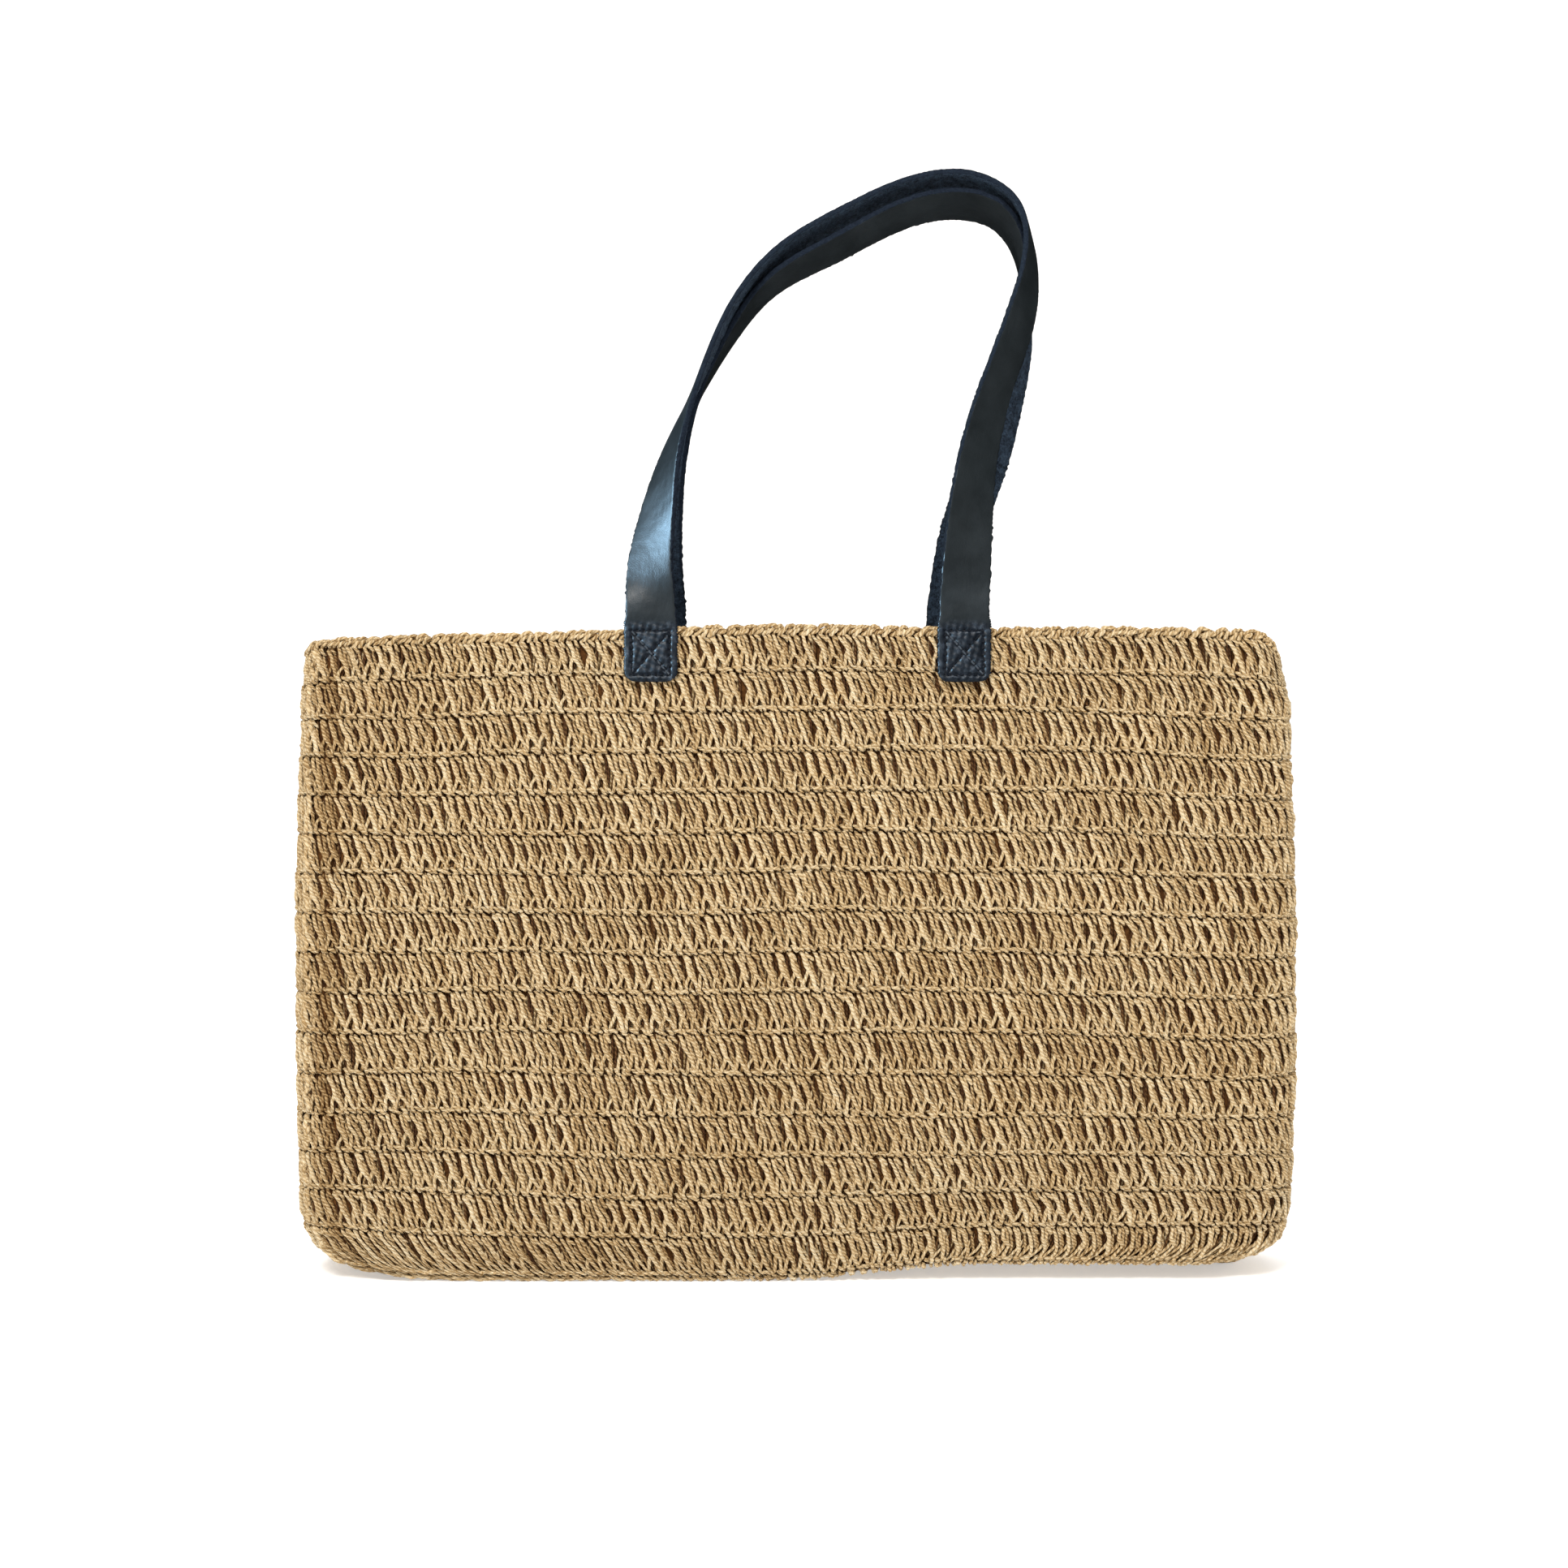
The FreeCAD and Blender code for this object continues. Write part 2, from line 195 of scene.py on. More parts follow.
def smooth_leather():
    """Dark leather. Where its tone is 1, at the sewn ends, it is pressed, creased and bluer, and its
    colour follows the creases: painted shade in their hollows and a painted highlight on their tops.
    """
    n = Nodes("smooth_leather")
    place, pressed = n.place(), n.attribute("tone")
    cells = n.add("ShaderNodeTexVoronoi", {"Vector": place, "Scale": 900.0},
                  feature="DISTANCE_TO_EDGE")
    grain = n.math("SMOOTH_MIN", cells.outputs["Distance"], 0.12)
    cloud = n.noise(place, 45.0, 4.0)
    fine = n.noise(place, 1600.0, 3.0)
    creases = n.noise(place, 260.0, 5.0, 0.7)
    loop = n.ramp(cloud, [(0.30, (0.0105, 0.0145, 0.0170)), (0.70, (0.0190, 0.0255, 0.0300))])
    # the tab's colour follows the crease height: painted shade in the hollows, painted highlight on
    # the tops
    tab = n.ramp(creases, [(0.38, (0.0032, 0.0058, 0.0105)), (0.55, (0.0095, 0.0155, 0.0255)),
                           (0.72, (0.0500, 0.0680, 0.0940))])
    folds = n.math("MULTIPLY", creases, pressed)
    height = n.weighted((grain, 2.0), (fine, 0.35), (folds, 6.0))
    waves = n.bump(n.noise(place, 70.0, 2.0), 0.0018, 0.35)
    return n.finish(Base_Color=n.mix(pressed, loop, tab), Roughness=n.scaled(cloud, 0.22, 0.34),
                    Normal=n.bump(height, 0.00014, 0.5, waves), Specular_IOR_Level=0.42)


def suede_leather(name, dark, light):
    """Leather's fibrous flesh side, between a dark and a light shade."""
    n = Nodes(name)
    place = n.place()
    fuzz = n.noise(place, 750.0, 5.0, 0.8)
    patch = n.noise(place, 240.0, 4.0, 0.65)
    color = n.ramp(n.weighted((fuzz, 0.65), (patch, 0.35)), [(0.42, dark), (0.60, light)])
    normal = n.bump(fuzz, 0.0016, 1.0, n.bump(patch, 0.0024))
    return n.finish(Base_Color=color, Roughness=0.95, Normal=normal, Sheen_Weight=0.10,
                    Sheen_Tint=(0.45, 0.6, 0.85, 1.0), Specular_IOR_Level=0.12)


def cut_edge():
    """The strap's raw edge: dark layered fibres, a few of them lighter."""
    n = Nodes("cut_edge")
    layers = n.noise(n.stretch(n.uv("strap"), (3.0, 60.0, 1.0)), 3.0, 4.0, 0.7)
    pits = n.noise(n.place(), 700.0, 4.0, 0.7)
    color = n.ramp(n.weighted((layers, 0.6), (pits, 0.4)),
                   [(0.40, (0.004, 0.007, 0.014)), (0.58, (0.013, 0.020, 0.033)),
                    (0.76, (0.055, 0.064, 0.078))])
    return n.finish(Base_Color=color, Roughness=0.9, Normal=n.bump(pits, 0.0008, 0.8),
                    Specular_IOR_Level=0.12)


def thread_material():
    """Waxed thread: its UV runs along the thread in millimetres, then round it once."""
    n = Nodes("waxed_thread")
    axes = n.add("ShaderNodeSeparateXYZ", {0: n.uv("strand")})
    twist = n.math("ADD", n.math("MULTIPLY", axes.outputs[0], THREAD_TWIST), axes.outputs[1])
    ply = n.math("SINE", n.math("MULTIPLY", twist, THREAD_PLIES * 2 * math.pi))
    # the thread is painted darker in its ply grooves, as shade
    dark = n.ramp(ply, [(0.0, (0.004, 0.007, 0.014)), (1.0, (0.030, 0.044, 0.070))])
    # painted highlight: a light bluish grey for the thread of the diagonal on top
    painted_highlight = n.ramp(ply, [(0.0, (0.045, 0.060, 0.080)), (1.0, (0.230, 0.280, 0.340))])
    color = n.mix(n.attribute("tone"), dark, painted_highlight)
    return n.finish(Base_Color=color, Roughness=0.45, Normal=n.bump(ply, 0.0002, 0.7),
                    Specular_IOR_Level=0.5)


STRAW, CORE = straw_material(), core_painted_shade_straw()
SMOOTH, EDGE = smooth_leather(), cut_edge()
FLESH = suede_leather("flesh_side", (0.0022, 0.0046, 0.0095), (0.040, 0.065, 0.100))
PATCH = suede_leather("patch_leather", (0.0035, 0.0060, 0.0120), (0.018, 0.027, 0.044))
THREAD = thread_material()


# ------------------------------------------------------------------ meshes


def mesh_object(name, points, quads, loops_uv, uv_name, materials, tone=None, material_index=None):
    """A mesh from points in mm, faces of four corners, and one UV pair for each face corner."""
    mesh = bpy.data.meshes.new(name)
    mesh.vertices.add(len(points))
    mesh.vertices.foreach_set("co", (points * MM).astype(np.float32).ravel())
    mesh.loops.add(quads.size)
    mesh.loops.foreach_set("vertex_index", quads.astype(np.int32).ravel())
    mesh.polygons.add(len(quads))
    mesh.polygons.foreach_set("loop_start", np.arange(0, quads.size, 4, dtype=np.int32))
    mesh.polygons.foreach_set("use_smooth", np.ones(len(quads), bool))
    if material_index is not None:
        mesh.polygons.foreach_set("material_index", material_index.astype(np.int32))
    layer = mesh.uv_layers.new(name=uv_name)
    layer.uv.foreach_set("vector", loops_uv.astype(np.float32).ravel())
    if tone is not None:
        attribute = mesh.attributes.new("tone", "FLOAT", "POINT")
        attribute.data.foreach_set("value", tone.astype(np.float32))
    mesh.update()
    mesh.validate()
    for material in materials:
        mesh.materials.append(material)
    obj = bpy.data.objects.new(name, mesh)
    bpy.context.scene.collection.objects.link(obj)
    return obj


def spline(stations, values, at, ends=None):
    """A cubic spline through values at the stations, with slopes at its ends if they're given."""
    stations, values = np.asarray(stations, float), np.asarray(values, float)
    n = len(stations)
    gaps = np.diff(stations)
    slopes = np.diff(values, axis=0) / gaps[:, None]
    matrix, right = np.zeros((n, n)), np.zeros_like(values)
    for k in range(1, n - 1):
        matrix[k, k - 1:k + 2] = gaps[k], 2 * (gaps[k - 1] + gaps[k]), gaps[k - 1]
        right[k] = 3 * (gaps[k] * slopes[k - 1] + gaps[k - 1] * slopes[k])
    if ends is None:
        matrix[0, :2], right[0] = (2, 1), 3 * slopes[0]
        matrix[-1, -2:], right[-1] = (1, 2), 3 * slopes[-1]
    else:
        matrix[0, 0] = matrix[-1, -1] = 1
        right[0], right[-1] = ends
    tangent = np.linalg.solve(matrix, right)
    k = np.clip(np.searchsorted(stations, at, side="right") - 1, 0, n - 2)
    share = ((at - stations[k]) / gaps[k])[:, None]
    width = gaps[k][:, None]
    a, b = values[k], values[k + 1]
    ta, tb = tangent[k] * width, tangent[k + 1] * width
    return (a * (1 + 2 * share) * (1 - share) ** 2 + ta * share * (1 - share) ** 2
            + b * share ** 2 * (3 - 2 * share) - tb * share ** 2 * (1 - share))


TIP = 0.35        # a strand's radius at its very tips, as a share of its full one
TIP_SHARE = 0.12  # the share of its length over which each tip narrows


def tube(points, radius, sides, steps, lobes, turns, uv_scale=0.1, rise=0.0):
    """A strand through points, as (vertices, quads, loop uvs).

    Lobes is how deep its two plies' groove is, and turns how often they turn round it. Rise is
    where its UV starts.
    """
    points = np.asarray(points, float)
    chords = np.r_[0, np.cumsum(np.linalg.norm(np.diff(points, axis=0), axis=1))]
    s = np.linspace(0, chords[-1], steps + 1)
    line = spline(chords, points, s)
    along = np.gradient(line, axis=0)
    along /= np.linalg.norm(along, axis=1)[:, None]
    side = np.cross(along, (0.0, 0.0, 1.0))
    side /= np.linalg.norm(side, axis=1)[:, None]
    up = np.cross(side, along)
    share = s / s[-1]
    ends = 1 - (1 - TIP) * np.clip(1 - np.minimum(share, 1 - share) / TIP_SHARE, 0, 1) ** 2
    angles = np.arange(sides)[None, :] * 2 * math.pi / sides
    ply = 1 + lobes * np.cos(2 * (angles - 2 * math.pi * turns * share[:, None]))
    r = radius * ends[:, None] * ply
    vertices = (line[:, None, :] + side[:, None, :] * (r * np.cos(angles))[..., None]
                + up[:, None, :] * (r * np.sin(angles))[..., None]).reshape(-1, 3)
    quads, uvs = [], []
    u = s * uv_scale + rise
    for i in range(steps):
        for k in range(sides):
            j = (k + 1) % sides
            quads.append((i * sides + k, i * sides + j, (i + 1) * sides + j, (i + 1) * sides + k))
            v0, v1 = k / sides, (k + 1) / sides
            uvs.append(((u[i], v0), (u[i], v1), (u[i + 1], v1), (u[i + 1], v0)))
    for ring in (0, steps):
        base = ring * sides
        for k in range(1, sides - 2, 2):
            quad = (base, base + k, base + k + 1, base + k + 2)
            quads.append(quad[::-1] if ring == 0 else quad)
            uvs.append(((u[ring], 0.5),) * 4)
    return vertices, np.array(quads), np.array(uvs)


def join(parts):
    """Several (vertices, quads, uvs) as one."""
    vertices, quads, uvs, count = [], [], [], 0
    for v, q, w in parts:
        vertices.append(v)
        quads.append(q + count)
        uvs.append(w)
        count += len(v)
    return np.concatenate(vertices), np.concatenate(quads), np.concatenate(uvs)


# ------------------------------------------------------------------ the crocheted body

STITCHES = 170          # in each round
WALL_ROUNDS = 16        # down the wall
ROWS = 18               # rounds in all: the last two are on the base
ROW_LEAN = 0.37         # how far each round starts past the one above, in stitches
PITCH, ROW = 6.55, 20.0
ROW_TOP = 323.0         # the height that the first round hangs from
CORNER = 22.0
WALL_TOP, WALL_FOOT = 345, 3
WALL_SECTIONS = [       # height, length, depth: near the frame's plan sections, fuller at the foot
    (345, 498, 52), (330, 498, 52), (290, 504, 52), (185, 506, 67), (95, 503, 74),
    (32, 500, 74), (20, 495, 73.5), (11, 486, 72.5), (5, 472, 71), (0, 452, 68)]
EASED_OVER = 160        # tenths of a millimetre over which the sections' corners are rounded
BASE_SECTIONS = [       # round, height, length, depth, after the wall's last one
    (16.12, 1.0, 454, 68), (16.30, 0.0, 446, 62), (17.2, 0.0, 424, 30), (18.0, 0.0, 396, 2.0)]


def section_table():
    """Round number, height, length and depth of the surface, every tenth of a millimetre."""
    wall = np.array(WALL_SECTIONS[::-1], float)
    z = np.linspace(WALL_TOP, WALL_FOOT, 10 * (WALL_TOP - WALL_FOOT) + 1)
    r = (ROW_TOP - z) / ROW
    length, depth = (np.interp(z, wall[:, 0], wall[:, k]) for k in (1, 2))
    kernel = np.hanning(EASED_OVER + 1)
    kernel /= kernel.sum()

    def eased(values, weight):
        padded = np.pad(values, EASED_OVER // 2, mode="edge")
        return values + weight * (np.convolve(padded, kernel, "valid") - values)

    weight = eases(z, 20, 50)
    length, depth = eased(length, weight), eased(depth, weight)
    base = np.array([(WALL_ROUNDS, WALL_FOOT, length[-1], depth[-1]), *BASE_SECTIONS])
    rb = np.linspace(WALL_ROUNDS, ROWS, 400)[1:]
    rest = [np.interp(rb, base[:, 0], base[:, k]) for k in (1, 2, 3)]
    return [np.r_[a, b] for a, b in zip((r, z, length, depth), (rb, *rest))]


TABLE_R, TABLE_Z, TABLE_L, TABLE_D = section_table()
MEAN_LENGTH, MEAN_DEPTH = 505.0, 70.0  # of the ring that the stitches are spread round


def ring_point(u, length, depth):
    """The place and outward direction on a rounded rectangle, u in stitches from the left end's
    middle, round by the front."""
    radius = np.minimum(CORNER, depth / 2 - 0.3)
    half_side, front = MEAN_DEPTH / 2 - CORNER, MEAN_LENGTH - 2 * CORNER
    arc = CORNER * math.pi / 2
    marks = np.cumsum([0, half_side, arc, front, arc, 2 * half_side, arc, front, arc, half_side])
    t = np.mod(u / STITCHES, 1.0) * marks[-1]
    k = np.clip(np.searchsorted(marks, t, side="right") - 1, 0, 8)
    share = (t - marks[k]) / np.diff(marks)[k]
    hx, hy = length / 2 - radius, depth / 2 - radius
    # each straight stretch's number, and the share of hx and hy at its start and end
    lines = {0: (-1, -1, 0, -1), 2: (-1, 1, -1, -1), 4: (1, 1, -1, 1), 6: (1, -1, 1, 1),
             8: (-1, -1, 1, 0)}
    x, y, nx, ny = (np.zeros_like(u) for _ in range(4))
    for stretch, (xa, xb, ya, yb) in lines.items():
        m = k == stretch
        at_end = stretch in (0, 4, 8)
        nx[m] = xa if at_end else 0
        ny[m] = 0 if at_end else ya
        x[m] = (xa + (xb - xa) * share[m]) * hx[m] + nx[m] * radius[m]
        y[m] = (ya + (yb - ya) * share[m]) * hy[m] + ny[m] * radius[m]
    # each corner's number, centre, and the angle that its arc starts from
    for corner, cx, cy, start in ((1, -1, -1, 180), (3, 1, -1, 270), (5, 1, 1, 0), (7, -1, 1, 90)):
        m = k == corner
        angle = np.radians(start + 90 * share[m])
        nx[m], ny[m] = np.cos(angle), np.sin(angle)
        x[m] = cx * hx[m] + nx[m] * radius[m]
        y[m] = cy * hy[m] + ny[m] * radius[m]
    return x, y, nx, ny


def surface(u, r, out):
    """A point out mm outside the bag's outer face, at stitch u and round r."""
    def place(rr):
        z, length, depth = (np.interp(rr, TABLE_R, t) for t in (TABLE_Z, TABLE_L, TABLE_D))
        x, y, nx, ny = ring_point(u, length, depth)
        return np.stack([x, y, z], 1), nx, ny

    nearby = 0.04
    here, nx, ny = place(r)
    above, _, _ = place(r - nearby)
    below, _, _ = place(r + nearby)
    round_way = np.stack([-ny, nx, np.zeros_like(nx)], 1)
    normal = np.cross(round_way, above - below)
    normal /= np.linalg.norm(normal, axis=1)[:, None] + 1e-12
    return here + normal * out[:, None]


WAVES = [(rng.uniform(0.4, 1.0), rng.uniform(-1, 1, 2), rng.uniform(0, 6.28)) for _ in range(7)]


def gentle(x, z, size):
    """A slow wave over the panels, about -1 to 1."""
    total = np.zeros_like(x)
    for weight, (fx, fz), phase in WAVES:
        total += weight * np.sin((x * fx + z * fz) / size * 6.28 + phase)
    return total / 3.0


LEFT_SAG, RIGHT_SAG, SCALLOP = 7.0, 2.5, 1.2  # how far the rim drops at its ends and between
TOP_CORNER_DROP = {"right": 11.0, "left": 4.0}
FOOT_LIFT = {"right": 8.0, "left": 6.0}
ROW_WAVES = [(1.7, 0, 0.4, 170.0), (1.3, 55, 0.8, 90.0)]  # height, shift, share of z, length
PANEL_WAVE, CREASE = 2.2, 3.2


def slump(p):
    """The whole bag's softness: a sagging rim, rounded corners and lifted feet."""
    x, y, z = p[:, 0].copy(), p[:, 1].copy(), p[:, 2].copy()
    high = np.clip((z - 170) / 150, 0, 1.1)
    drop = LEFT_SAG * np.clip((-60 - x) / 190, 0, 1) + RIGHT_SAG * np.clip((x - 120) / 135, 0, 1)
    drop += SCALLOP * (1 - np.cos(x / 31.0)) / 2 * eases(z, 280, 320)
    z -= drop * high ** 1.5
    near_top = eases(z, 288, 324)
    z -= (TOP_CORNER_DROP["right"] * eases(x, 230, 254)
          + TOP_CORNER_DROP["left"] * eases(-x, 243, 254)) * near_top
    x -= 3.0 * eases(x, 236, 252) * near_top
    front = eases(y, 10, -24)
    low = np.clip(1 - z / 75, 0, 1)
    z += FOOT_LIFT["right"] * eases(x, -15, 95) * front * low
    z += FOOT_LIFT["left"] * eases(-x, 165, 250) * front * low
    for height, shift, share, size in ROW_WAVES:
        z += height * gentle(x + shift, z * share, size) * eases(z, 0, 60) * (1 - near_top)
    middle = eases(np.abs(x), 250, 200) * eases(z, 0, 50) * eases(z, 318, 248)
    y += PANEL_WAVE * gentle(x + 40, z, 210.0) * middle
    # the front's lower right corner is pushed in along a slanting crease
    away = (x - 206) * 0.68 - z * 0.73
    y += CREASE * np.exp(-(away / 6.0) ** 2) * eases(x, 196, 210) * eases(z, 70, 30) * (y < 0)
    return np.stack([x, y, np.maximum(z, 0.02)], 1)


# One stitch's strands: points as (pitches across, rounds up, mm out), radius, sides, steps, tone.
# Each strand's tone is partly painted shade: strands lying deeper are darker, those in front lighter.
STRANDS = [
    # the long leg in front, and the strands that run beside it
    ([(-0.24, 0.99, -2.4), (-0.08, 0.90, -1.0), (0.20, 0.70, -0.35), (0.50, 0.47, -0.30),
      (0.78, 0.25, -0.6), (0.96, 0.09, -1.2), (1.04, -0.01, -2.4)], 0.95, 7, 9, 0.46),
    ([(0.06, 1.00, -2.4), (0.20, 0.87, -1.3), (0.46, 0.66, -0.9), (0.72, 0.46, -1.0),
      (0.90, 0.32, -1.9)], 0.84, 6, 6, 0.26),
    ([(0.54, 0.84, -2.3), (0.76, 0.62, -1.5), (1.00, 0.40, -1.3), (1.16, 0.20, -1.6),
      (1.24, 0.08, -2.3)], 0.78, 6, 6, 0.06),
    # the short legs that lean the other way
    ([(0.52, 0.60, -1.7), (0.40, 0.44, -0.95), (0.27, 0.24, -0.7), (0.17, 0.08, -1.2),
      (0.12, -0.02, -2.4)], 0.90, 7, 6, 0.34),
    ([(0.86, 0.52, -2.5), (0.76, 0.38, -1.9), (0.64, 0.20, -1.7), (0.56, 0.02, -2.2)],
     0.76, 6, 5, 0.0),
    # the top of the stitch, hooked round the round above
    ([(0.16, 0.985, -2.2), (0.34, 0.93, -0.7), (0.58, 0.84, -0.5), (0.76, 0.75, -1.9)],
     0.92, 6, 5, 0.34),
    # the chain's two slanting bumps at its foot
    ([(-0.20, 0.130, -1.9), (-0.02, 0.110, -0.75), (0.22, 0.055, -0.50), (0.44, -0.020, -1.5)],
     0.88, 6, 5, 0.40),
    ([(0.30, 0.135, -2.1), (0.50, 0.100, -0.85), (0.72, 0.045, -0.60), (0.94, -0.025, -1.6)],
     0.86, 6, 5, 0.36),
    # the yarn between, half hidden, its tone darkened as painted shade
    ([(0.02, -0.02, -2.7), (0.16, 0.50, -2.50), (0.10, 1.00, -2.7)], 0.80, 5, 5, -0.95),
    ([(0.36, -0.02, -2.7), (0.50, 0.50, -2.55), (0.42, 1.00, -2.7)], 0.80, 5, 5, -0.95),
    ([(0.70, -0.02, -2.7), (0.84, 0.50, -2.50), (0.76, 1.00, -2.7)], 0.80, 5, 5, -0.95),
    # the back of the stitch, which the inside of the bag shows
    ([(0.10, -0.02, -3.8), (0.30, 0.50, -4.1), (0.48, 1.00, -3.8)], 1.15, 5, 4, 0.2),
    ([(0.62, -0.02, -3.8), (0.80, 0.50, -4.1), (0.98, 1.00, -3.8)], 1.15, 5, 4, 0.2),
    ([(-0.10, 0.05, -4.2), (0.50, 0.09, -4.6), (1.08, 0.05, -4.2)], 0.95, 5, 3, 0.3),
]
# The edging round's strands: two slanting bumps, the chain's top over the edge, and its inside.
# Their tones are partly painted shade as well: the deep middle strand is darker.
RIM_STRANDS = [
    ([(-0.06, 0.945, -2.1), (0.10, 0.985, -0.4), (0.34, 1.045, 0.0), (0.54, 1.095, -1.4)],
     1.02, 7, 6, 0.42),
    ([(0.44, 0.945, -2.1), (0.62, 0.985, -0.5), (0.84, 1.045, -0.1), (1.04, 1.095, -1.4)],
     0.98, 7, 6, 0.30),
    ([(-0.15, 1.030, -0.9), (0.12, 1.115, -0.8), (0.45, 1.155, -1.6), (0.75, 1.095, -2.8)],
     1.05, 7, 6, 0.34),
    ([(0.35, 1.110, -1.9), (0.62, 1.145, -2.3), (0.95, 1.130, -3.0), (1.20, 1.070, -3.6)],
     1.10, 7, 6, 0.20),
    ([(-0.10, 1.060, -3.2), (0.30, 1.100, -3.6), (0.70, 1.090, -3.9), (1.10, 1.030, -3.2)],
     1.15, 6, 5, 0.15),
    ([(-0.12, 0.980, -3.8), (0.40, 1.020, -4.3), (1.08, 0.980, -3.9)], 1.10, 6, 4, 0.15),
    ([(-0.15, 1.030, -2.4), (0.50, 1.060, -2.6), (1.15, 1.030, -2.4)], 1.35, 5, 3, -0.20),
]
# The turning chain where a round was joined, up the left-hand front corner.
JOIN_STRANDS = [
    ([(0.0, 0.02, -1.6), (0.28, 0.10, -0.2), (0.42, 0.22, 0.25), (0.20, 0.34, -0.3),
      (0.02, 0.40, -1.4)], 1.25, 8, 8, 0.35),
    ([(0.55, 0.22, -1.6), (0.30, 0.32, -0.1), (0.16, 0.46, 0.2), (0.34, 0.58, -0.2),
      (0.52, 0.66, -1.4)], 1.25, 8, 8, 0.35),
    ([(0.02, 0.52, -1.5), (0.26, 0.62, -0.1), (0.44, 0.74, 0.3), (0.22, 0.88, -0.2),
      (0.05, 0.98, -1.5)], 1.25, 8, 8, 0.35),
]
VARIANTS = 24
JOIN_U = 4.6      # where each round was joined, in stitches from the left end's middle
POCKET_U, POCKET_HALF = JOIN_U + 1.6, 0.8  # the pocket beside the joins, sunk and darkened with painted shade, in stitches
POCKET_DEPTH, POCKET_SHADE = 1.5, 0.45


def stitch_variant(strands):
    """One stitch with its own irregularities, in mm."""
    parts, tones = [], []
    for points, radius, sides, steps, base in strands:
        p = np.array(points, float)
        p[:, 0] += rng.normal(0, 0.08)
        p[1:-1, 0] += rng.normal(0, 0.065, len(p) - 2)
        p[1:-1, 1] += rng.normal(0, 0.022, len(p) - 2)
        p[1:-1, 2] += rng.normal(0, 0.32, len(p) - 2)
        p *= (PITCH, ROW, 1.0)
        strand = tube(p, radius * rng.uniform(0.86, 1.12), sides, steps, lobes=0.16,
                      turns=rng.uniform(1.0, 1.8), rise=rng.uniform(0, 9))
        parts.append(strand)
        tones.append(np.full(len(strand[0]), base + rng.uniform(-0.14, 0.14)))
    return (*join(parts), np.concatenate(tones))


CORE_OUT, CORE_RIB = -3.35, 0.25  # where the fabric's middle lies, and its ribs' height, in mm
CORE_ACROSS, CORE_UP = 4, 6       # its points in a stitch, and its steps in a round


def core_strip(row):
    """The middle of a round's fabric, in the surface's own coordinates: ribbed by the stitches."""
    across, up = STITCHES * CORE_ACROSS, CORE_UP + 1
    u = np.arange(across) / CORE_ACROSS
    r = row + np.linspace(0, 1, up)
    grid_u, grid_r = np.meshgrid(u, r)
    out = CORE_OUT + CORE_RIB * np.cos(2 * math.pi * (grid_u - ROW_LEAN * row))
    points = np.stack([grid_u, grid_r, out], -1).reshape(-1, 3)
    i = np.arange(up - 1)[:, None] * across
    k = np.arange(across)[None, :]
    j = (k + 1) % across
    quads = np.stack([i + k, i + across + k, i + across + j, i + j], -1).reshape(-1, 4)
    return points, quads


def lay_stitches(name, variants, row, us, wobble=1.0, nodes=(), core=False):
    """Lays a stitch at each u of a round. With core, it has the fabric's middle and the pocket."""
    points, quads, uvs, tones, count = [], [], [], [], 0
    for u in us:
        v, q, w, tone = variants[rng.integers(len(variants))]
        p = v.copy()
        p[:, 0] = p[:, 0] * rng.uniform(0.95, 1.06) + rng.normal(0, 0.22) * wobble
        p[:, 0] += (p[:, 1] - ROW / 2) * rng.normal(0, 0.018) * wobble
        p[:, 2] += rng.normal(0, 0.12) * wobble
        sunk = math.exp(-((u - POCKET_U) / POCKET_HALF) ** 2) if core else 0.0
        p[:, 2] -= POCKET_DEPTH * sunk
        points.append(np.stack([u + p[:, 0] / PITCH, row + 1 - p[:, 1] / ROW, p[:, 2]], 1))
        quads.append(q + count)
        uvs.append(w)
        # in the pocket the strands' tone is lowered as painted shade
        tones.append(tone + rng.uniform(-0.10, 0.10) - POCKET_SHADE * sunk)
        count += len(v)
    material = np.zeros(sum(len(q) for q in quads), int)
    if core:
        v, q = core_strip(row)
        points.append(v)
        quads.append(q + count)
        uvs.append(np.zeros((len(q), 4, 2)))
        tones.append(np.zeros(len(v)))
        material = np.r_[material, np.ones(len(q), int)]
    flat = np.concatenate(points)
    solid = slump(surface(flat[:, 0], flat[:, 1], flat[:, 2]))
    obj = mesh_object(name, solid, np.concatenate(quads), np.concatenate(uvs), "strand",
                      [STRAW, CORE], tone=np.concatenate(tones), material_index=material)
    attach(obj, "bag")
    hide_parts(*nodes)


WALL_NODES = ("front_panel", "rear_panel", "left_side", "right_side")
stitch_kinds = [stitch_variant(STRANDS) for _ in range(VARIANTS)]
for row in range(ROWS):
    us = np.arange(STITCHES) + ROW_LEAN * row
    nodes = WALL_NODES if row < WALL_ROUNDS else ("base_panel",)
    lay_stitches(f"crochet_round_{row + 1:02d}", stitch_kinds, row, us, nodes=nodes, core=True)

rim_kinds = [stitch_variant(RIM_STRANDS) for _ in range(VARIANTS)]
lay_stitches("rim_chain", rim_kinds, 0, np.arange(STITCHES) + 0.2, wobble=2.6, nodes=("rim_round",))


def join_column(half, rows):
    """The turning chains of half the wall's rounds."""
    pieces = []
    for row in rows:
        v, q, w, tone = join_kinds[rng.integers(VARIANTS)]
        u = JOIN_U + rng.normal(0, 0.15) + v[:, 0] / PITCH
        at = slump(surface(u, row + 1 - v[:, 1] / ROW, v[:, 2]))
        pieces.append((at, q, w, tone + rng.uniform(-0.1, 0.1)))
    points, quads, uvs = join([piece[:3] for piece in pieces])
    seam = mesh_object(f"round_joins_{half}", points, quads, uvs, "strand", [STRAW],
                       tone=np.concatenate([piece[3] for piece in pieces]))
    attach(seam, "bag")


